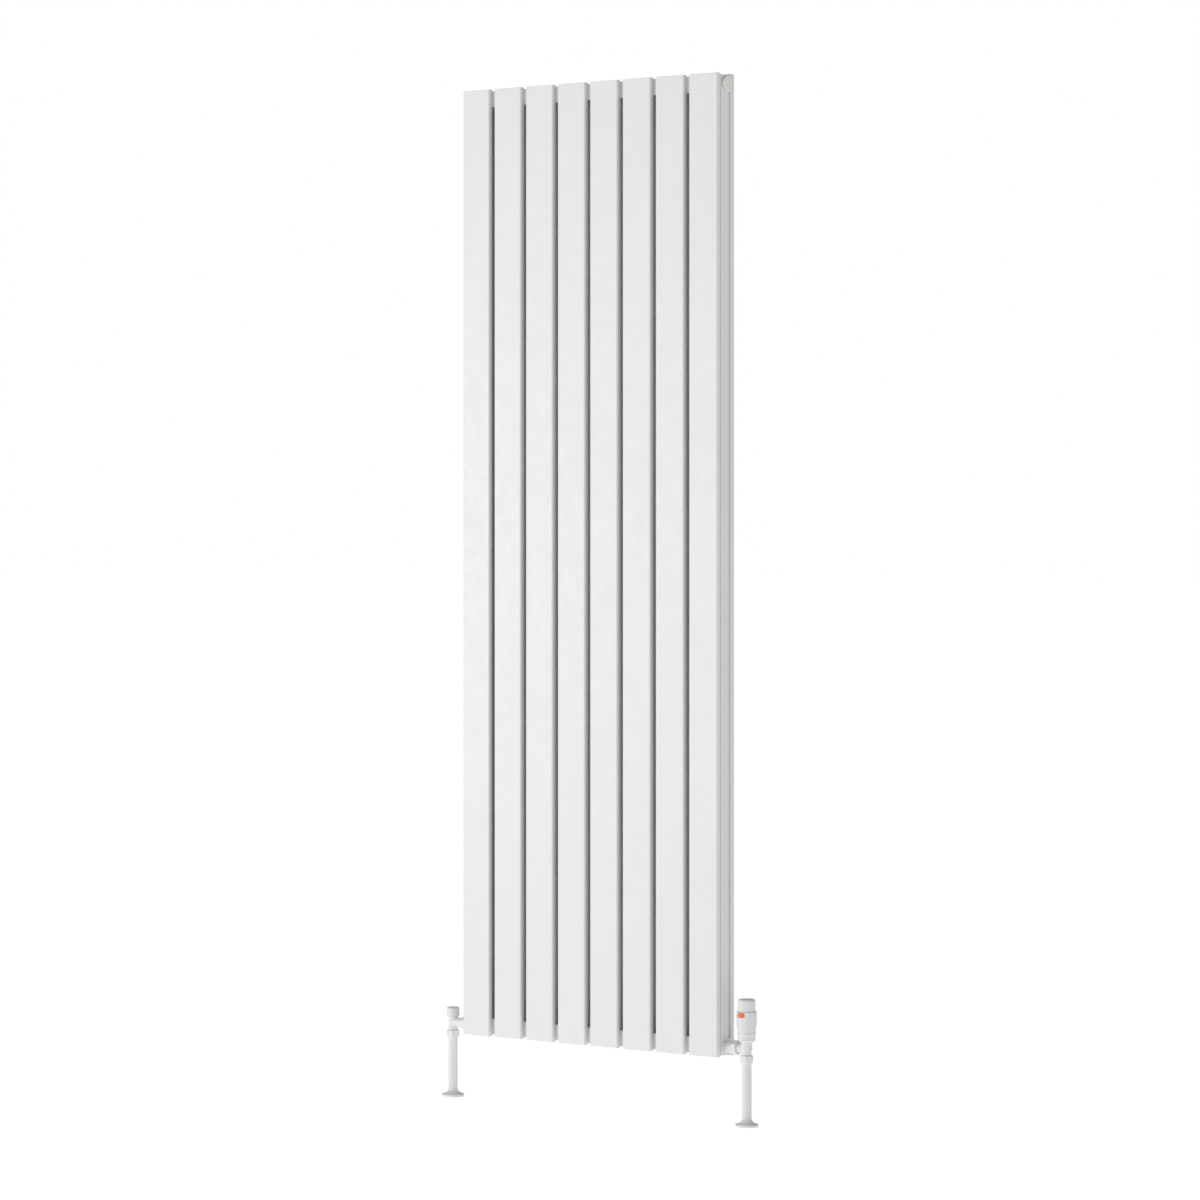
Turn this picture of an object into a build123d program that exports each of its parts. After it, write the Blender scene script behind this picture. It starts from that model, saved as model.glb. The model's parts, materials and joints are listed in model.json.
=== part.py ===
"""Vertical double radiator of flat steel tubes, with its two valves and its floor pipes.

Frame: +X runs along the radiator to the thermostatic valve, +Y points into the wall, +Z is up.
The origin is the centre of the four wall fixings, on the wall's surface, level with the middle
of the radiator. Sizes are in millimetres. Heights passed to above_floor() count from the floor.
"""
import os
from math import sqrt

from build123d import *

os.makedirs("parts", exist_ok=True)

# Radiator
radiator_height = 1800
tube_count = 8
tube_pitch = 77
tube_width = 65
tube_depth = 11
tube_corner = 3
tube_wall = 1.2
tube_end_round = 0.6
port_radius = 7
header_height = 30
header_depth = 32
header_inset = 2.5
header_wall = 2
header_end_wall = 8
header_corner = 1.2
floor_gap = 125
wall_gap = 35

# Side strips that close most of the gap between the two rows
strip_inset = 0.3
strip_depth = 22.6
strip_width = 6
strip_sheet = 1.6
strip_groove = 1.0
strip_step = 0.5
strip_recess = 4.4

# Wall fixing
fixing_spacing_x = 5 * tube_pitch
fixing_spacing_z = 1300
fixing_hole_radius = 4
bracket_plate_width = 40
bracket_plate_height = 78
bracket_steel = 3
bracket_arm_width = 24
hook_height = 14
arm_below_hole = 45
lug_height = 30
lug_steel = 2.5
lug_reach = 14
lug_inner_half = 16
lug_foot = 12

# End fittings in the headers
fitting_thread_radius = 10.2
fitting_hole_radius = 10.3
fitting_thread_length = 12
plug_flange_radius = 12
plug_flange = 1.2
plug_cover_radius = 13
plug_cover_thickness = 4.6
plug_socket_radius = 5
cover_spigot_radius = 4
vent_hex_radius = 12.7
vent_hex = 5
vent_boss_radius = 6.5
vent_boss = 4
bleed_screw_radius = 2.95
bleed_bore_radius = 3.0
bleed_square = 5

# Pipes
valve_offset = 47
pipe_radius = 7.5
pipe_bore_radius = 6.8
pipe_stub = 30
floor_mark = 1
floor_mark_depth = 0.2
pipe_socket_radius = 7.55
pipe_socket_depth = 6.3
sleeve_radius = 9
sleeve_bore_radius = 8.1
rosette_bore_radius = 9.3
rosette_radius = 21.5

# Nuts and unions
nut_height = 13.4
nut_radius = 13
nut_lip = 2.5
nut_bore_radius = 8.8
nut_lip_radius = 7.7
body_thread_radius = 8.4
union_nut_length = 9.2
union_nut_radius = 13.9
union_bore_radius = 9.5
union_lip = 1.4
union_lip_radius = 8.6
branch_radius = 9.15
branch_bore_radius = 6
seat_bore_radius = 5
olive_edge_radius = 8.0
olive_middle_radius = 8.6
tail_neck = 3.5
tail_neck_radius = 10
tail_collar_radius = 11.4
tail_spigot_radius = 8.4
tail_flange_radius = 9.3

# Thermostatic valve: heights above the floor
trv_nut_base = 116.4
trv_union_start = 19.6
trv_waist = 138.8
trv_cone_base = 155
trv_cone_top = 157.8
trv_body_top = 164
trv_seat = 139.2
trv_chamber_top = 150.3
trv_body_radius = 10.2
trv_neck_radius = 8.7
trv_head_thread_radius = 13.7
trv_chamber_radius = 8.2
trv_insert_radius = 8.7
trv_pin_radius = 1.6
trv_pin_bore_radius = 1.7
trv_pin_top = 167.5
trv_disc_base = 140.45
trv_disc_thickness = 3
trv_disc_radius = 7
ring_radius = 16
ring_bore_radius = 14
ring_base = 158
ring_top = 165.6
rib_count = 18
head_base_radius = 17.1
head_base_step = 182.2
head_base_top = 200
head_groove_base = 171.3
head_groove_top = 172.5
head_groove_depth = 0.8
head_spigot_radius = 15.4
head_cavity_radius = 12
head_floor = 169
handwheel_radius = 18.8
handwheel_base = 182.6
handwheel_top = 210.2
handwheel_plate = 3
handwheel_bore_radius = 15.9
cap_radius = 16.2
cap_top = 233.2
cap_wall = 2.2
sensor_radius = 11.5
sensor_base = 171
sensor_top = 205.7
plunger_radius = 3
badge_width = 16
badge_height = 9.5
badge_thickness = 0.4
badge_middle = 204.6

# Lockshield valve: heights above the floor
ls_nut_base = 113.6
ls_union_start = 9.8
ls_cone_base = 150.8
ls_flange_base = 153.8
ls_flange_top = 154.4
ls_body_top = 159
ls_seat = 134
ls_chamber_top = 150
ls_body_radius = 8.65
ls_flange_radius = 11.2
ls_head_radius = 10.4
ls_chamber_radius = 7
ls_jumper_radius = 6.4
ls_jumper_gap = 3
ls_jumper_thickness = 2.5
ls_spindle_radius = 3
ls_spindle_bore_radius = 2.1
ls_stem_radius = 2
ls_square = 5
ls_square_height = 4
ls_spindle_base = 144
ls_spindle_bore_top = 157
ls_stem_overlap = 8
ls_gland_flats = 16
ls_gland_nut = 4
ls_cap_radius = 12.3
ls_cap_bore_radius = 10.8
ls_cap_top = 171.2
ls_cap_wall = 2.2

# Positions that follow from the sizes above
row_width = (tube_count - 1) * tube_pitch + tube_width
end_x = row_width / 2
half_height = radiator_height / 2
floor_z = -half_height - floor_gap
rear_y = -wall_gap - tube_depth / 2
header_y = -wall_gap - tube_depth - header_depth / 2
front_y = header_y - header_depth / 2 - tube_depth / 2
header_z = half_height - header_inset - header_height / 2
valve_x = end_x + valve_offset


def above_floor(height):
    """The Z of a height counted from the floor."""
    return floor_z + height


def finish(piece, label):
    """Name a finished piece and write it to its own file."""
    piece.part.label = label
    export_step(piece.part, f"parts/{label}.step")


def upright(x, y=header_y):
    """A plane whose local X is the radius and local Y the height above the floor, at a vertical axis."""
    return Plane(origin=(x, y, floor_z), x_dir=(1, 0, 0), z_dir=(0, -1, 0))


def sideways(side, z):
    """A plane whose local Y runs outwards along the header's axis, from the end of that side."""
    return Plane(origin=(side * end_x, header_y, z), x_dir=(0, 0, 1), z_dir=(0, side, 0))


def profile(plane, outline):
    """A face on the plane, from a closed (radius, distance) outline."""
    with BuildSketch(plane) as face:
        with BuildLine():
            Polyline(*outline, close=True)
        make_face()
    return face.sketch


def turned_about(plane, outline, mode=Mode.ADD):
    """Turn an outline about the plane's local Y axis, in the part that is being built."""
    revolve(profile(plane, outline), axis=Axis(plane.origin, plane.y_dir), mode=mode)


def rod(radius, start, end, inner=0):
    """The outline of a plain rod or tube, for turned_about()."""
    return [(inner, start), (radius, start), (radius, end), (inner, end)]


# ---------------------------------------------------------------- flat tubes and headers


def flat_tube(x, y, toward_header):
    """One closed flat tube, with a water port into each header."""
    with BuildPart() as tube:
        with BuildSketch(Plane.XY.offset(-half_height)):
            with Locations((x, y)):
                RectangleRounded(tube_width, tube_depth, tube_corner)
        extrude(amount=radiator_height)
        ends = tube.faces().filter_by(Axis.Z)
        fillet(ends.edges(), tube_end_round)
        with BuildSketch(Plane.XY.offset(-half_height + tube_wall)):
            with Locations((x, y)):
                inner_corner = tube_corner - tube_wall
                RectangleRounded(tube_width - 2 * tube_wall, tube_depth - 2 * tube_wall, inner_corner)
        extrude(amount=radiator_height - 2 * tube_wall, mode=Mode.SUBTRACT)
        with BuildSketch(Plane.XZ.offset(-y)):
            with Locations((x, header_z), (x, -header_z)):
                Circle(port_radius)
        extrude(amount=-toward_header * tube_depth, mode=Mode.SUBTRACT)
    return tube


def header(z):
    """One square header, hollow, with a tapped hole in each end and a port for every tube."""
    with BuildPart() as pipe:
        with BuildSketch(Plane.YZ.offset(-end_x)):
            with Locations((header_y, z)):
                RectangleRounded(header_depth, header_height, header_corner)
        extrude(amount=row_width)
        with BuildSketch(Plane.YZ.offset(-end_x + header_end_wall)):
            with Locations((header_y, z)):
                Rectangle(header_depth - 2 * header_wall, header_height - 2 * header_wall)
        extrude(amount=row_width - 2 * header_end_wall, mode=Mode.SUBTRACT)
        with BuildSketch(Plane.YZ.offset(-end_x)):
            with Locations((header_y, z)):
                Circle(fitting_hole_radius)
        extrude(amount=row_width, mode=Mode.SUBTRACT)
        with BuildSketch(Plane.XZ.offset(-header_y - header_depth)):
            with Locations((0, z)):
                with GridLocations(tube_pitch, 0, tube_count, 1):
                    Circle(port_radius)
        extrude(amount=2 * header_depth, mode=Mode.SUBTRACT)
    return pipe


for index in range(tube_count):
    tube_x = (index - (tube_count - 1) / 2) * tube_pitch
    finish(flat_tube(tube_x, front_y, toward_header=1), f"front_tube_{index + 1}")
    finish(flat_tube(tube_x, rear_y, toward_header=-1), f"rear_tube_{index + 1}")

finish(header(header_z), "top_header")
finish(header(-header_z), "bottom_header")


def side_strip(side):
    """A folded strip between the headers: two leaves with a groove, and a recessed flange behind them."""
    front_edge = header_y - header_depth / 2 + strip_inset
    rear_edge = front_edge + strip_depth
    middle = (front_edge + rear_edge) / 2
    back = header_y + header_depth / 2 - strip_inset
    face_x = side * end_x
    length = 2 * header_z - header_height
    with BuildPart() as strip:
        with BuildSketch(Plane.XY.offset(-length / 2)):
            with Locations((face_x - side * strip_width / 2, middle)):
                Rectangle(strip_width, strip_depth)
            with Locations((face_x - side * (strip_sheet + strip_width / 2), middle)):
                Rectangle(strip_width, strip_depth - 2 * strip_sheet, mode=Mode.SUBTRACT)
            with Locations((face_x, (middle + rear_edge) / 2)):
                Rectangle(2 * strip_step, strip_depth / 2, mode=Mode.SUBTRACT)
            with Locations((face_x, middle)):
                Rectangle(2 * strip_groove, strip_groove, mode=Mode.SUBTRACT)
            with Locations((face_x - side * (strip_recess + strip_sheet / 2), (rear_edge + back) / 2)):
                Rectangle(strip_sheet, back - rear_edge)
        extrude(amount=length)
    return strip


finish(side_strip(-1), "side_strip_left")
finish(side_strip(1), "side_strip_right")


# ---------------------------------------------------------------- wall fixing

fixing_x = fixing_spacing_x / 2
fixing_z = fixing_spacing_z / 2


def arm_top(hole_z):
    """The height of a bracket's arm, where a lug rests on it."""
    return hole_z - arm_below_hole


with BuildPart() as hanger_lugs:
    for lug_x in (-fixing_x, fixing_x):
        for lug_hole_z in (-fixing_z, fixing_z):
            back = -wall_gap
            outer_half = lug_inner_half + lug_steel
            with BuildSketch(Plane.XY.offset(arm_top(lug_hole_z))):
                with Locations((lug_x, back + lug_reach / 2)):
                    Rectangle(2 * outer_half, lug_reach)
                    Rectangle(2 * lug_inner_half, lug_reach, mode=Mode.SUBTRACT)
                with Locations((lug_x, back + lug_reach - lug_steel / 2)):
                    Rectangle(2 * outer_half, lug_steel)
                for foot_side in (-1, 1):
                    with Locations((lug_x + foot_side * (outer_half + lug_foot / 2), back + lug_steel / 2)):
                        Rectangle(lug_foot, lug_steel)
            extrude(amount=lug_height)
finish(hanger_lugs, "hanger_lugs")


def wall_bracket(x, hole_z):
    """A wall plate with one screw hole, and an arm that ends in an upturned hook."""
    top = arm_top(hole_z)
    hook_y = -wall_gap + 4.5 + bracket_steel / 2
    plate_middle = hole_z - arm_below_hole / 2
    with BuildPart() as bracket:
        with BuildSketch(Plane.XZ):
            with Locations((x, plate_middle)):
                RectangleRounded(bracket_plate_width, bracket_plate_height, 5)
            with Locations((x, hole_z)):
                Circle(fixing_hole_radius, mode=Mode.SUBTRACT)
        extrude(amount=bracket_steel)
        with BuildSketch(Plane.YZ.offset(x - bracket_arm_width / 2)):
            with BuildLine():
                Polyline(
                    (-bracket_steel, top),
                    (hook_y + bracket_steel / 2, top),
                    (hook_y + bracket_steel / 2, top + hook_height),
                    (hook_y - bracket_steel / 2, top + hook_height),
                    (hook_y - bracket_steel / 2, top - bracket_steel),
                    (-bracket_steel, top - bracket_steel),
                    close=True,
                )
            make_face()
        extrude(amount=bracket_arm_width)
    return bracket


finish(wall_bracket(-fixing_x, fixing_z), "wall_bracket_upper_left")
finish(wall_bracket(fixing_x, fixing_z), "wall_bracket_upper_right")
finish(wall_bracket(-fixing_x, -fixing_z), "wall_bracket_lower_left")
finish(wall_bracket(fixing_x, -fixing_z), "wall_bracket_lower_right")


# ---------------------------------------------------------------- fittings in the top header

plug_plane = sideways(1, header_z)
with BuildPart() as blanking_plug:
    turned_about(plug_plane, rod(fitting_thread_radius, -fitting_thread_length, 0))
    turned_about(plug_plane, rod(plug_flange_radius, 0, plug_flange))
    with BuildSketch(Plane.YZ.offset(end_x + plug_flange)):
        with Locations((header_y, header_z)):
            RegularPolygon(plug_socket_radius, 6)
    extrude(amount=-(fitting_thread_length - 4), mode=Mode.SUBTRACT)
finish(blanking_plug, "blanking_plug")

cover_start = plug_flange + 0.2
with BuildPart() as blanking_plug_cover:
    turned_about(plug_plane, rod(plug_cover_radius, cover_start, cover_start + plug_cover_thickness))
    outer_rim = blanking_plug_cover.edges().sort_by(Axis.X)[-1]
    inner_rim = blanking_plug_cover.edges().sort_by(Axis.X)[0]
    fillet(outer_rim, 1.3)
    chamfer(inner_rim, 0.6)
    turned_about(plug_plane, rod(cover_spigot_radius, -5, cover_start + 1))
finish(blanking_plug_cover, "blanking_plug_cover")

vent_plane = sideways(-1, header_z)
vent_face = vent_hex + vent_boss
with BuildPart() as air_vent_plug:
    turned_about(vent_plane, rod(fitting_thread_radius, -fitting_thread_length, 0))
    with BuildSketch(Plane.YZ.offset(-end_x)):
        with Locations((header_y, header_z)):
            RegularPolygon(vent_hex_radius, 6, rotation=30)
    extrude(amount=-vent_hex)
    chamfer(air_vent_plug.faces().sort_by(Axis.X)[0].edges(), 0.6)
    turned_about(vent_plane, rod(vent_boss_radius, vent_hex, vent_face))
    turned_about(vent_plane, rod(bleed_bore_radius, -fitting_thread_length, vent_face), Mode.SUBTRACT)
    with BuildSketch(Plane.XY.offset(header_z)):
        with Locations((-end_x - vent_hex - vent_boss / 2, header_y)):
            Circle(0.8)
    extrude(amount=-vent_boss_radius, mode=Mode.SUBTRACT)
finish(air_vent_plug, "air_vent_plug")

with BuildPart() as bleed_screw:
    turned_about(vent_plane, rod(bleed_screw_radius, -fitting_thread_length + 3, vent_face + 0.5))
    with BuildSketch(Plane.YZ.offset(-end_x - vent_face - 0.5)):
        with Locations((header_y, header_z)):
            RectangleRounded(bleed_square, bleed_square, 0.4)
    extrude(amount=-bleed_square)
    with BuildSketch(Plane.YZ.offset(-end_x - vent_face - 0.5 - bleed_square)):
        with Locations((header_y, header_z)):
            Rectangle(2 * bleed_square, 1)
    extrude(amount=1, mode=Mode.SUBTRACT)
finish(bleed_screw, "bleed_screw")


# ---------------------------------------------------------------- pieces that both valves have


def compression_nut(x, base):
    """The hexagon nut that closes a valve's inlet on its pipe."""
    top = base + nut_height
    with BuildPart() as nut:
        with BuildSketch(Plane.XY.offset(above_floor(base))):
            with Locations((x, header_y)):
                RegularPolygon(nut_radius, 6)
        extrude(amount=nut_height)
        rounded = [
            (0, base),
            (nut_radius - 2.2, base),
            (nut_radius + 0.1, base + 2.6),
            (nut_radius + 0.1, top - 1.4),
            (nut_radius - 1.6, top),
            (0, top),
        ]
        turned_about(upright(x), rounded, Mode.INTERSECT)
        turned_about(upright(x), rod(nut_lip_radius, base, base + nut_lip), Mode.SUBTRACT)
        turned_about(upright(x), rod(nut_bore_radius, base + nut_lip, top), Mode.SUBTRACT)
    return nut


def union_nut(side, start):
    """The hexagon nut that pulls a valve's branch onto its tailpiece."""
    end = start + union_nut_length
    plane = sideways(side, -header_z)
    with BuildPart() as nut:
        with BuildSketch(Plane.YZ.offset(side * (end_x + start))):
            with Locations((header_y, -header_z)):
                RegularPolygon(union_nut_radius, 6, rotation=30)
        extrude(amount=side * union_nut_length)
        rounded = [
            (0, start),
            (union_nut_radius - 1.2, start),
            (union_nut_radius + 0.1, start + 0.9),
            (union_nut_radius + 0.1, end - 0.9),
            (union_nut_radius - 1.6, end),
            (0, end),
        ]
        turned_about(plane, rounded, Mode.INTERSECT)
        turned_about(plane, rod(union_lip_radius, start, start + union_lip), Mode.SUBTRACT)
        turned_about(plane, rod(union_bore_radius, start + union_lip, end), Mode.SUBTRACT)
    return nut


def tailpiece(side, union_start):
    """The tail that screws into the header and carries the union nut."""
    collar_end = union_start - 0.4
    lip_end = union_start + union_lip + 0.2
    outline = [
        (branch_bore_radius, -fitting_thread_length),
        (fitting_thread_radius, -fitting_thread_length),
        (fitting_thread_radius, 0),
        (tail_neck_radius, 0),
        (tail_neck_radius, tail_neck),
        (tail_collar_radius - 0.8, tail_neck),
        (tail_collar_radius, tail_neck + 0.8),
        (tail_collar_radius, collar_end),
        (tail_spigot_radius, collar_end),
        (tail_spigot_radius, lip_end),
        (tail_flange_radius, lip_end),
        (tail_flange_radius, lip_end + 1),
        (branch_bore_radius, lip_end + 1),
    ]
    with BuildPart() as tail:
        turned_about(sideways(side, -header_z), outline)
    return tail


def branch_start(union_start):
    """Where a valve's branch meets the tailpiece, measured out from the header's end."""
    return union_start + union_lip + 1.3


def inlet_base(nut_base):
    """The height of a valve body's lower end, above its olive."""
    return nut_base + 5


def olive_outline(nut_base):
    """The outline of the soft ring that the nut squeezes onto the pipe."""
    low = nut_base + nut_lip
    high = inlet_base(nut_base)
    return [
        (pipe_socket_radius, low),
        (olive_edge_radius, low),
        (olive_middle_radius, (low + high) / 2),
        (olive_edge_radius, high),
        (pipe_socket_radius, high),
    ]


for side, prefix, nut_base, union_start in (
    (1, "trv", trv_nut_base, trv_union_start),
    (-1, "lockshield", ls_nut_base, ls_union_start),
):
    finish(compression_nut(side * valve_x, nut_base), f"{prefix}_compression_nut")
    finish(union_nut(side, union_start), f"{prefix}_union_nut")
    finish(tailpiece(side, union_start), f"{prefix}_tailpiece")

with BuildPart() as compression_olives:
    turned_about(upright(valve_x), olive_outline(trv_nut_base))
    turned_about(upright(-valve_x), olive_outline(ls_nut_base))
finish(compression_olives, "compression_olives")


# ---------------------------------------------------------------- thermostatic valve

trv_axis = upright(valve_x)
trv_inlet = inlet_base(trv_nut_base)
trv_shoulder = trv_nut_base + nut_height + 0.2
trv_branch = sideways(1, -header_z)

with BuildPart() as trv_valve_body:
    body_outline = [
        (0, trv_inlet),
        (body_thread_radius, trv_inlet),
        (body_thread_radius, trv_shoulder),
        (trv_neck_radius, trv_shoulder),
        (trv_neck_radius, trv_waist - 0.8),
        (trv_body_radius, trv_waist + 0.4),
        (trv_body_radius, trv_cone_base),
        (trv_head_thread_radius, trv_cone_top),
        (trv_head_thread_radius, trv_body_top),
        (0, trv_body_top),
    ]
    turned_about(trv_axis, body_outline)
    turned_about(trv_branch, rod(branch_radius, branch_start(trv_union_start), valve_offset))
    socket_end = trv_inlet + pipe_socket_depth
    turned_about(trv_axis, rod(pipe_socket_radius, trv_inlet, socket_end), Mode.SUBTRACT)
    turned_about(trv_axis, rod(seat_bore_radius, socket_end, trv_seat), Mode.SUBTRACT)
    turned_about(trv_axis, rod(trv_chamber_radius, trv_seat, trv_chamber_top), Mode.SUBTRACT)
    turned_about(trv_axis, rod(trv_insert_radius + 0.1, trv_chamber_top, trv_body_top), Mode.SUBTRACT)
    trv_branch_bore = rod(branch_bore_radius, branch_start(trv_union_start), valve_offset)
    turned_about(trv_branch, trv_branch_bore, Mode.SUBTRACT)
finish(trv_valve_body, "trv_valve_body")

with BuildPart() as trv_gland_insert:
    insert_top = trv_body_top - 0.1
    turned_about(trv_axis, rod(trv_insert_radius, trv_chamber_top, insert_top, inner=trv_pin_bore_radius))
finish(trv_gland_insert, "trv_gland_insert")

trv_disc_top = trv_disc_base + trv_disc_thickness
with BuildPart() as trv_valve_disc:
    turned_about(trv_axis, rod(trv_disc_radius, trv_disc_base, trv_disc_top))
    chamfer(trv_valve_disc.edges().sort_by(Axis.Z)[0], 0.5)
finish(trv_valve_disc, "trv_valve_disc")

with BuildPart() as trv_pin:
    turned_about(trv_axis, rod(trv_pin_radius, trv_disc_top, trv_pin_top))
finish(trv_pin, "trv_pin")


def coil_spring(x, low, high, coil_radius, wire_radius, turns):
    """An open coil spring about a vertical axis, its wire between the two heights."""
    base = Vector(x, header_y, above_floor(low + wire_radius))
    length = high - low - 2 * wire_radius
    with BuildPart() as spring:
        with BuildLine() as wire:
            Helix(pitch=length / turns, height=length, radius=coil_radius, center=base)
        with BuildSketch(Plane(origin=wire.line @ 0, z_dir=wire.line % 0)):
            Circle(wire_radius)
        sweep(path=wire.line, is_frenet=True)
    return spring


finish(coil_spring(valve_x, trv_disc_top + 0.3, trv_chamber_top - 0.3, 5, 0.45, 3), "trv_return_spring")

with BuildPart() as trv_ring_nut:
    ring_outline = [
        (10.5, ring_base - 3.8),
        (13.4, ring_base - 3.1),
        (15.4, ring_base),
        (ring_radius, ring_base + 0.3),
        (ring_radius, ring_top),
        (ring_bore_radius, ring_top),
        (ring_bore_radius, trv_cone_top - 0.2),
        (10.5, trv_cone_base - 0.1),
    ]
    turned_about(trv_axis, ring_outline)
    with BuildSketch(Plane.XY.offset(above_floor(ring_base + 0.5))):
        with Locations((valve_x, header_y)):
            with PolarLocations(ring_radius + 0.5, rib_count):
                Circle(1.3)
    extrude(amount=ring_top - ring_base - 1.1, mode=Mode.SUBTRACT)
finish(trv_ring_nut, "trv_ring_nut")

with BuildPart() as trv_head_base:
    base_outline = [
        (plunger_radius + 0.4, trv_body_top),
        (trv_head_thread_radius, trv_body_top),
        (trv_head_thread_radius, ring_top),
        (head_base_radius - 0.7, ring_top),
        (head_base_radius, ring_top + 1.8),
        (head_base_radius, head_base_step),
        (head_spigot_radius, head_base_step),
        (head_spigot_radius, head_base_top),
        (head_cavity_radius, head_base_top),
        (head_cavity_radius, head_floor),
        (plunger_radius + 0.4, head_floor),
    ]
    turned_about(trv_axis, base_outline)
    groove_floor = head_base_radius - head_groove_depth
    groove_outline = rod(head_base_radius + 1, head_groove_base, head_groove_top, inner=groove_floor)
    turned_about(trv_axis, groove_outline, Mode.SUBTRACT)
finish(trv_head_base, "trv_head_base")

with BuildPart() as trv_sensor:
    turned_about(trv_axis, rod(sensor_radius, sensor_base, sensor_top))
    chamfer(trv_sensor.edges().filter_by(GeomType.CIRCLE), 0.8)
    turned_about(trv_axis, rod(plunger_radius, trv_pin_top, sensor_base + 1))
finish(trv_sensor, "trv_sensor")

cap_ceiling = cap_top - cap_wall
finish(coil_spring(valve_x, sensor_top + 0.2, cap_ceiling - 0.2, 7, 0.7, 5), "trv_overload_spring")

with BuildPart() as trv_handwheel:
    wheel_outline = [
        (handwheel_bore_radius, handwheel_base),
        (handwheel_radius - 0.5, handwheel_base),
        (handwheel_radius, handwheel_base + 0.5),
        (handwheel_radius, handwheel_top),
        (sensor_radius + 1, handwheel_top),
        (sensor_radius + 1, handwheel_top - handwheel_plate),
        (handwheel_bore_radius, handwheel_top - handwheel_plate),
    ]
    turned_about(trv_axis, wheel_outline)
    top_circles = trv_handwheel.edges().filter_by(GeomType.CIRCLE).group_by(Axis.Z)[-1]
    wheel_rim = top_circles.sort_by(SortBy.RADIUS)[-1]
    fillet(wheel_rim, 1.2)
finish(trv_handwheel, "trv_handwheel")

with BuildPart() as trv_end_cap:
    turned_about(trv_axis, rod(cap_radius, handwheel_top, cap_top))
    fillet(trv_end_cap.edges().sort_by(Axis.Z)[-1], 4.5)
    turned_about(trv_axis, rod(cap_radius - cap_wall, handwheel_top, cap_ceiling), Mode.SUBTRACT)
finish(trv_end_cap, "trv_end_cap")

with BuildPart() as trv_badge:
    with BuildSketch(Plane.XZ.offset(-header_y)):
        with Locations((valve_x, above_floor(badge_middle))):
            RectangleRounded(badge_width, badge_height, badge_height / 2 - 0.05)
    extrude(amount=2 * handwheel_radius)
    badge_shell = rod(
        handwheel_radius + badge_thickness,
        handwheel_base,
        handwheel_top,
        inner=handwheel_radius,
    )
    turned_about(trv_axis, badge_shell, Mode.INTERSECT)
finish(trv_badge, "trv_badge")


# ---------------------------------------------------------------- lockshield valve

ls_axis = upright(-valve_x)
ls_branch = sideways(-1, -header_z)
ls_inlet = inlet_base(ls_nut_base)
ls_shoulder = ls_nut_base + nut_height + 0.2

with BuildPart() as lockshield_body:
    ls_outline = [
        (0, ls_inlet),
        (body_thread_radius, ls_inlet),
        (body_thread_radius, ls_shoulder),
        (ls_body_radius, ls_shoulder),
        (ls_body_radius, ls_cone_base),
        (ls_flange_radius, ls_flange_base),
        (ls_flange_radius, ls_flange_top),
        (ls_head_radius, ls_flange_top),
        (ls_head_radius, ls_body_top),
        (0, ls_body_top),
    ]
    turned_about(ls_axis, ls_outline)
    turned_about(ls_branch, rod(branch_radius, branch_start(ls_union_start), valve_offset))
    ls_socket_end = ls_inlet + pipe_socket_depth
    turned_about(ls_axis, rod(pipe_socket_radius, ls_inlet, ls_socket_end), Mode.SUBTRACT)
    turned_about(ls_axis, rod(seat_bore_radius, ls_socket_end, ls_seat), Mode.SUBTRACT)
    turned_about(ls_axis, rod(ls_chamber_radius, ls_seat, ls_body_top), Mode.SUBTRACT)
    ls_branch_bore = rod(branch_bore_radius, branch_start(ls_union_start), valve_offset)
    turned_about(ls_branch, ls_branch_bore, Mode.SUBTRACT)
finish(lockshield_body, "lockshield_body")

gland_bore_radius = ls_spindle_radius + 0.05
ls_gland_top = ls_body_top + ls_gland_nut
with BuildPart() as lockshield_gland_nut:
    turned_about(ls_axis, rod(ls_chamber_radius - 0.1, ls_chamber_top, ls_body_top))
    with BuildSketch(Plane.XY.offset(above_floor(ls_body_top))):
        with Locations((-valve_x, header_y)):
            RegularPolygon(ls_gland_flats / sqrt(3), 6)
    extrude(amount=ls_gland_nut)
    turned_about(ls_axis, rod(gland_bore_radius, ls_chamber_top, ls_gland_top), Mode.SUBTRACT)
finish(lockshield_gland_nut, "lockshield_gland_nut")

square_base = ls_gland_top + 0.5
with BuildPart() as lockshield_spindle:
    turned_about(ls_axis, rod(ls_spindle_radius, ls_spindle_base, square_base))
    turned_about(ls_axis, rod(ls_spindle_radius + 1.5, ls_chamber_top - 2, ls_chamber_top - 0.3))
    with BuildSketch(Plane.XY.offset(above_floor(square_base))):
        with Locations((-valve_x, header_y)):
            RectangleRounded(ls_square, ls_square, 0.4)
    extrude(amount=ls_square_height)
    turned_about(ls_axis, rod(ls_spindle_bore_radius, ls_spindle_base, ls_spindle_bore_top), Mode.SUBTRACT)
finish(lockshield_spindle, "lockshield_spindle")

jumper_base = ls_seat + ls_jumper_gap
with BuildPart() as lockshield_jumper:
    turned_about(ls_axis, rod(ls_jumper_radius, jumper_base, jumper_base + ls_jumper_thickness))
    turned_about(ls_axis, rod(ls_stem_radius, jumper_base, ls_spindle_base + ls_stem_overlap))
finish(lockshield_jumper, "lockshield_jumper")

ls_cap_base = ls_flange_top + 0.1
with BuildPart() as lockshield_cap:
    cap_outline = [
        (ls_cap_bore_radius, ls_cap_base),
        (ls_cap_radius - 0.8, ls_cap_base),
        (ls_cap_radius, ls_cap_base + 0.8),
        (ls_cap_radius, ls_cap_top - 1.8),
        (ls_cap_radius - 1.8, ls_cap_top),
        (0, ls_cap_top),
        (0, ls_cap_top - ls_cap_wall),
        (ls_cap_bore_radius, ls_cap_top - ls_cap_wall),
    ]
    turned_about(ls_axis, cap_outline)
finish(lockshield_cap, "lockshield_cap")


# ---------------------------------------------------------------- pipes, sleeves and rosettes

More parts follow.
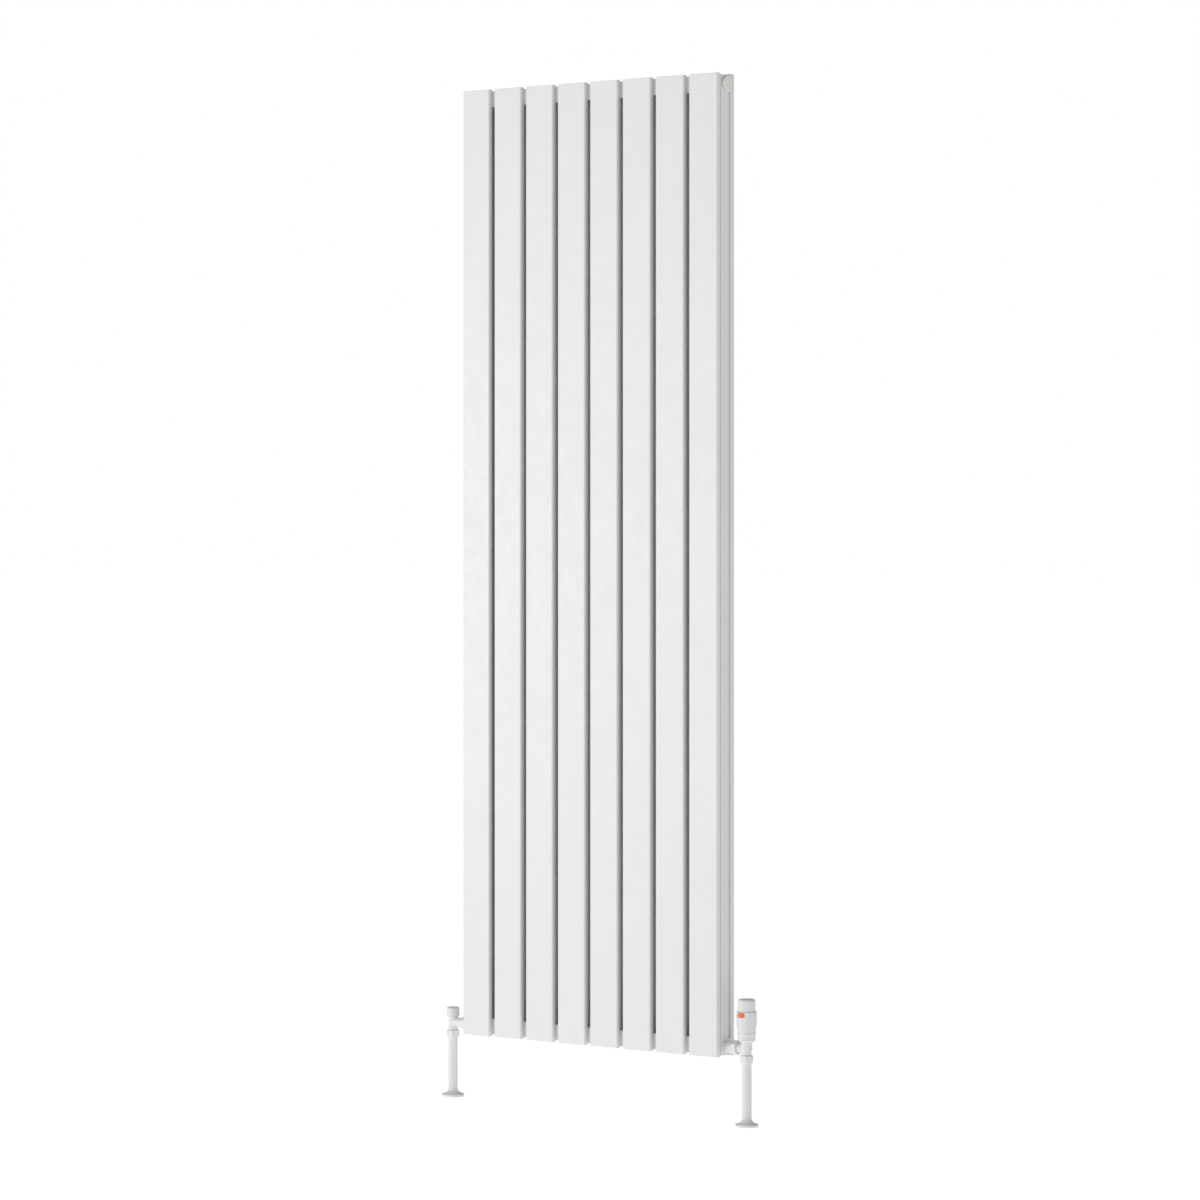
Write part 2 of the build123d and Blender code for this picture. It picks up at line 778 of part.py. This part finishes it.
for side, prefix, nut_base in ((1, "supply", trv_nut_base), (-1, "return", ls_nut_base)):
    pipe_axis = upright(side * valve_x)
    pipe_top = inlet_base(nut_base) + pipe_socket_depth - 0.3
    with BuildPart() as copper_pipe:
        turned_about(pipe_axis, rod(pipe_radius, -pipe_stub, pipe_top, inner=pipe_bore_radius))
        scored_line = rod(pipe_radius + 1, -floor_mark, 0, inner=pipe_radius - floor_mark_depth)
        turned_about(pipe_axis, scored_line, Mode.SUBTRACT)
    finish(copper_pipe, f"{prefix}_pipe")

    with BuildPart() as pipe_sleeve:
        turned_about(pipe_axis, rod(sleeve_radius, 0.3, nut_base - 0.2, inner=sleeve_bore_radius))
    finish(pipe_sleeve, f"{prefix}_pipe_sleeve")

    rosette_outline = [
        (rosette_bore_radius, 0),
        (rosette_radius, 0),
        (rosette_radius, 4.0),
        (rosette_radius - 1.2, 5.2),
        (15.3, 6.4),
        (14.9, 7.2),
        (11.9, 8.9),
        (10.5, 10.6),
        (10.2, 12.0),
        (rosette_bore_radius, 12.0),
    ]
    with BuildPart() as floor_rosette:
        turned_about(pipe_axis, rosette_outline)
    finish(floor_rosette, f"{prefix}_rosette")
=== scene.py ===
"""The vertical double radiator and its two valves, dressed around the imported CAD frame."""
import json
import math

import bmesh
import bpy
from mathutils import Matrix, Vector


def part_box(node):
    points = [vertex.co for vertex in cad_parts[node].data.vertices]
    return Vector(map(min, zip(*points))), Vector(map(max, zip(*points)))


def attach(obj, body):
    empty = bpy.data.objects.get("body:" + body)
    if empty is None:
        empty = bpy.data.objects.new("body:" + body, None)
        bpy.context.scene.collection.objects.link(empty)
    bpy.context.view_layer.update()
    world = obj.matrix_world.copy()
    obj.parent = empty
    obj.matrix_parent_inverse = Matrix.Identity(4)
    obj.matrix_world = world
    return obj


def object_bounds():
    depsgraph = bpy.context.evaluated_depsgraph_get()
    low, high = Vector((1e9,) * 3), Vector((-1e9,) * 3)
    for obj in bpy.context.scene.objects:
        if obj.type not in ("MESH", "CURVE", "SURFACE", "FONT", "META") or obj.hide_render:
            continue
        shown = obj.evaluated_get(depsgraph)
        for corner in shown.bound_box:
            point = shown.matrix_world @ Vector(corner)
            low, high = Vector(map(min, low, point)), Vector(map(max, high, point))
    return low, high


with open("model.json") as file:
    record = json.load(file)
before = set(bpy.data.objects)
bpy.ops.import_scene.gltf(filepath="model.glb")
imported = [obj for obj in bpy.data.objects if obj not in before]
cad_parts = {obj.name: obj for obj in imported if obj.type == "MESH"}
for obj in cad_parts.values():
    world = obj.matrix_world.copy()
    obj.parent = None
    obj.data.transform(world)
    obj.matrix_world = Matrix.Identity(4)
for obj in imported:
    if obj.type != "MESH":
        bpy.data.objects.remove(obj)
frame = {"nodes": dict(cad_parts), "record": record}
nodes = frame["nodes"]
cad_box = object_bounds()

# Weld beads, in metres.
WELD_SIZE = 0.0013
WELD_STEP = 0.0008
WELD_RIPPLE = 0.0017
WELD_RIPPLE_DEPTH = 0.09
WELD_END = 0.003
WELD_TAPER_STEPS = 3
WELD_SIDES = 5

# Floor and studio light. The sky's strength falls from the horizon to the zenith,
# and from front to back.
FLOOR_REACH = 60
FLOOR_GLOW = 0.66
HORIZON_LIGHT = 0.72
ZENITH_LIGHT = 0.22
FRONT_LIGHT = 1.35
BACK_LIGHT = 0.65

# Camera: level, in front and to the right of the radiator, with its lens shifted to frame it.
CAMERA_PLACE = (5.158, -6.648, 0.090)
CAMERA_TURN = 38.205
CAMERA_LENS = 134
CAMERA_SENSOR = 36
CAMERA_SHIFT = (0.0122, -0.0703)
CAMERA_REACH = 200

# Factor range in which nearly all of a noise texture's values lie.
NOISE_LOW = 0.3
NOISE_HIGH = 0.7


# ---------------------------------------------------------------- materials
def new_material(name, colour, roughness, metallic=0.0):
    """A Principled material, with its nodes and its shader for the caller to add to."""
    material = bpy.data.materials.new(name)
    material.use_nodes = True
    shader = material.node_tree.nodes["Principled BSDF"]
    shader.inputs["Base Color"].default_value = (*colour, 1)
    shader.inputs["Roughness"].default_value = roughness
    shader.inputs["Metallic"].default_value = metallic
    return material, material.node_tree, shader


def object_coordinates(tree, stretch=(1, 1, 1)):
    """Object-space coordinates in metres, stretched along each axis."""
    place = tree.nodes.new("ShaderNodeTexCoord")
    mapping = tree.nodes.new("ShaderNodeMapping")
    mapping.inputs["Scale"].default_value = stretch
    tree.links.new(place.outputs["Object"], mapping.inputs["Vector"])
    return mapping.outputs["Vector"]


def noise(tree, vector, scale, detail=2.0):
    """The factor of a noise texture, with scale features to the metre."""
    texture = tree.nodes.new("ShaderNodeTexNoise")
    texture.inputs["Scale"].default_value = scale
    texture.inputs["Detail"].default_value = detail
    texture.inputs["Roughness"].default_value = 0.5
    tree.links.new(vector, texture.inputs["Vector"])
    return texture.outputs["Fac"]


def ramp(tree, factor, low, high):
    """A colour that runs from low to high as the factor runs through the noise's usual range."""
    node = tree.nodes.new("ShaderNodeValToRGB")
    node.color_ramp.elements[0].position = NOISE_LOW
    node.color_ramp.elements[1].position = NOISE_HIGH
    node.color_ramp.elements[0].color = (*low, 1)
    node.color_ramp.elements[1].color = (*high, 1)
    tree.links.new(factor, node.inputs["Fac"])
    return node.outputs["Color"]


def vary(tree, factor, low, high):
    """A number that runs from low to high as the factor runs through the noise's usual range."""
    node = tree.nodes.new("ShaderNodeMapRange")
    node.inputs["From Min"].default_value = NOISE_LOW
    node.inputs["From Max"].default_value = NOISE_HIGH
    node.inputs["To Min"].default_value = low
    node.inputs["To Max"].default_value = high
    tree.links.new(factor, node.inputs["Value"])
    return node.outputs["Result"]


def bump(tree, shader, height, distance):
    """Gives the shader a surface relief of the stated depth in metres."""
    node = tree.nodes.new("ShaderNodeBump")
    node.inputs["Strength"].default_value = 1.0
    node.inputs["Distance"].default_value = distance
    tree.links.new(height, node.inputs["Height"])
    tree.links.new(node.outputs["Normal"], shader.inputs["Normal"])


def shade(colour, factor):
    """The colour, darker by the factor."""
    return tuple(channel * factor for channel in colour)


def coated(name, colour, roughness, peel_scale, peel_depth, mottle=0.985):
    """Paint or moulded plastic: a faint mottle in colour and gloss over a fine surface texture."""
    material, tree, shader = new_material(name, colour, roughness)
    where = object_coordinates(tree)
    broad = noise(tree, where, 9, 3)
    tree.links.new(ramp(tree, broad, shade(colour, mottle), colour), shader.inputs["Base Color"])
    gloss = noise(tree, where, 60, 4)
    uneven = vary(tree, gloss, roughness * 0.9, roughness * 1.12)
    tree.links.new(uneven, shader.inputs["Roughness"])
    bump(tree, shader, noise(tree, where, peel_scale, 2), peel_depth)
    return material


def turned(name, colour, roughness, stretch, depth=0.00002):
    """Bare metal with fine tool or drawing marks that run across the stretched axis."""
    material, tree, shader = new_material(name, colour, roughness, metallic=1.0)
    where = object_coordinates(tree, stretch)
    marks = noise(tree, where, 900, 3)
    stain = noise(tree, object_coordinates(tree), 70, 4)
    tree.links.new(ramp(tree, stain, shade(colour, 0.82), colour), shader.inputs["Base Color"])
    tree.links.new(vary(tree, marks, roughness * 0.8, roughness * 1.25), shader.inputs["Roughness"])
    bump(tree, shader, marks, depth)
    return material


white = (0.75, 0.75, 0.75)
materials = {
    "radiator_paint": coated("radiator_paint", white, 0.42, 900, 0.00003),
    "bracket_paint": coated("bracket_paint", shade(white, 0.96), 0.48, 900, 0.00003),
    "valve_paint": coated("valve_paint", (0.75, 0.75, 0.747), 0.4, 420, 0.00002),
    "white_plastic": coated("white_plastic", white, 0.34, 1600, 0.00002),
    "cover_plastic": coated("cover_plastic", (0.765, 0.748, 0.715), 0.5, 1600, 0.00003),
    "badge_plastic": coated("badge_plastic", (0.80, 0.16, 0.035), 0.3, 1200, 0.00001, mottle=0.93),
    "seal_rubber": coated("seal_rubber", (0.02, 0.02, 0.02), 0.7, 1500, 0.00004, mottle=0.7),
    "brass": turned("brass", (0.78, 0.60, 0.29), 0.3, (1, 1, 14)),
    "copper": turned("copper", (0.80, 0.42, 0.28), 0.32, (14, 14, 1)),
    "plated_steel": turned("plated_steel", (0.68, 0.68, 0.69), 0.32, (1, 1, 14)),
    "spring_steel": turned("spring_steel", (0.50, 0.50, 0.51), 0.35, (3, 3, 3)),
    "sensor_metal": turned("sensor_metal", (0.76, 0.76, 0.77), 0.36, (1, 1, 14)),
}
slot_of = {part["node"]: part["material_slot"] for part in frame["record"]["subparts"]}
for name, node in nodes.items():
    material = materials[slot_of[name]]
    if not node.material_slots:
        node.data.materials.append(material)
    for holder in node.material_slots:
        holder.material = material


# ---------------------------------------------------------------- welds
def weld_bead(mesh, x_range, corner, toward):
    """A rippled fillet along X in the corner at (y, z), between a face across Y and a face across Z."""
    steps = int((x_range[1] - x_range[0]) / WELD_STEP)
    y, z = corner
    rings = []
    for step in range(steps + 1):
        x = x_range[0] + step * WELD_STEP
        taper = min(1, (0.5 + min(step, steps - step)) / WELD_TAPER_STEPS)
        ripple = 1 + WELD_RIPPLE_DEPTH * math.sin(2 * math.pi * x / WELD_RIPPLE)
        size = WELD_SIZE * taper * ripple
        ring = [mesh.verts.new((x, y, z))]
        for side in range(WELD_SIDES + 1):
            angle = math.pi / 2 * side / WELD_SIDES
            across = toward[0] * size * math.cos(angle)
            up = toward[1] * size * math.sin(angle)
            ring.append(mesh.verts.new((x, y + across, z + up)))
        rings.append(ring)
    for near, far in zip(rings, rings[1:]):
        for i in range(len(near)):
            after = (i + 1) % len(near)
            mesh.faces.new((near[i], near[after], far[after], far[i]))
    mesh.faces.new(rings[0])
    mesh.faces.new(list(reversed(rings[-1])))


def weld_row(header_name, tube_prefix):
    """The beads that join every tube of one row to one header."""
    low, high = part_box(header_name)
    mesh = bmesh.new()
    for number in range(1, tube_count + 1):
        tube_low, tube_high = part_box(f"{tube_prefix}_{number}")
        in_front = tube_high.y < (low.y + high.y) / 2
        y = tube_high.y if in_front else tube_low.y
        x_range = (tube_low.x + WELD_END, tube_high.x - WELD_END)
        away = 1 if in_front else -1
        weld_bead(mesh, x_range, (y, high.z), (away, 1))
        weld_bead(mesh, x_range, (y, low.z), (away, -1))
    bmesh.ops.recalc_face_normals(mesh, faces=mesh.faces)
    data = bpy.data.meshes.new(f"welds_{header_name}_{tube_prefix}")
    mesh.to_mesh(data)
    mesh.free()
    data.shade_smooth()
    data.materials.append(materials["radiator_paint"])
    beads = bpy.data.objects.new(data.name, data)
    bpy.context.scene.collection.objects.link(beads)
    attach(beads, "radiator")


tube_count = sum(name.startswith("front_tube_") for name in nodes)
for header_name in ("top_header", "bottom_header"):
    for tube_prefix in ("front_tube", "rear_tube"):
        weld_row(header_name, tube_prefix)


# ---------------------------------------------------------------- floor, light and camera
floor_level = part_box("supply_rosette")[0].z
bpy.ops.mesh.primitive_plane_add(size=2 * FLOOR_REACH, location=(0, 0, floor_level))
floor = bpy.context.object
floor.name = "floor"
floor_material, floor_tree, floor_shader = new_material("floor_pale", (0.90, 0.90, 0.90), 0.7)
grain = noise(floor_tree, object_coordinates(floor_tree), 2, 3)
floor_colour = ramp(floor_tree, grain, (0.895, 0.895, 0.895), (0.905, 0.905, 0.905))
floor_tree.links.new(floor_colour, floor_shader.inputs["Base Color"])
floor_shader.inputs["Emission Color"].default_value = (1, 1, 1, 1)
floor_shader.inputs["Emission Strength"].default_value = FLOOR_GLOW
floor.data.materials.append(floor_material)

scene = bpy.context.scene
scene.view_settings.view_transform = "Standard"
world = bpy.data.worlds.new("studio")
scene.world = world
world.use_nodes = True
sky = world.node_tree
ambient = sky.nodes["Background"]
ambient.inputs["Color"].default_value = (1, 1, 1, 1)
direction = sky.nodes.new("ShaderNodeTexCoord")
split = sky.nodes.new("ShaderNodeSeparateXYZ")
dim_to_zenith = sky.nodes.new("ShaderNodeMapRange")
dim_to_zenith.inputs["To Min"].default_value = HORIZON_LIGHT
dim_to_zenith.inputs["To Max"].default_value = ZENITH_LIGHT
sky.links.new(direction.outputs["Generated"], split.inputs["Vector"])
sky.links.new(split.outputs["Z"], dim_to_zenith.inputs["Value"])
front_weight = sky.nodes.new("ShaderNodeMapRange")
front_weight.inputs["From Min"].default_value = -1
front_weight.inputs["From Max"].default_value = 1
front_weight.inputs["To Min"].default_value = FRONT_LIGHT
front_weight.inputs["To Max"].default_value = BACK_LIGHT
sky.links.new(split.outputs["Y"], front_weight.inputs["Value"])
product = sky.nodes.new("ShaderNodeMath")
product.operation = "MULTIPLY"
sky.links.new(dim_to_zenith.outputs["Result"], product.inputs[0])
sky.links.new(front_weight.outputs["Result"], product.inputs[1])
sky.links.new(product.outputs["Value"], ambient.inputs["Strength"])
backdrop = sky.nodes.new("ShaderNodeBackground")
backdrop.inputs["Color"].default_value = (1, 1, 1, 1)
backdrop.inputs["Strength"].default_value = 1.0
seen = sky.nodes.new("ShaderNodeLightPath")
choose = sky.nodes.new("ShaderNodeMixShader")
sky.links.new(seen.outputs["Is Camera Ray"], choose.inputs["Fac"])
sky.links.new(ambient.outputs["Background"], choose.inputs[1])
sky.links.new(backdrop.outputs["Background"], choose.inputs[2])
sky.links.new(choose.outputs["Shader"], sky.nodes["World Output"].inputs["Surface"])


def soft_box(name, azimuth, height, distance, size, beam, power):
    """An area light that looks at the middle of the object. Azimuth 0 is in front, and 90 is at +X."""
    data = bpy.data.lights.new(name, "AREA")
    data.size = size
    data.spread = math.radians(beam)
    data.energy = power
    lamp = bpy.data.objects.new(name, data)
    scene.collection.objects.link(lamp)
    middle = (cad_box[0] + cad_box[1]) / 2
    turn = math.radians(azimuth)
    across = distance * math.sin(turn)
    ahead = distance * math.cos(turn)
    lamp.location = (across, middle.y - ahead, middle.z + height)
    lamp.rotation_euler = (middle - lamp.location).to_track_quat("-Z", "Y").to_euler()


soft_box("key_light", azimuth=-43, height=0.1, distance=7.0, size=2.0, beam=60, power=14.5)

camera_data = bpy.data.cameras.new("camera")
camera_data.lens = CAMERA_LENS
camera_data.sensor_width = CAMERA_SENSOR
camera_data.shift_x, camera_data.shift_y = CAMERA_SHIFT
camera_data.clip_end = CAMERA_REACH
camera = bpy.data.objects.new("camera", camera_data)
scene.collection.objects.link(camera)
camera.location = CAMERA_PLACE
camera.rotation_euler = (math.radians(90), 0, math.radians(CAMERA_TURN))
scene.camera = camera
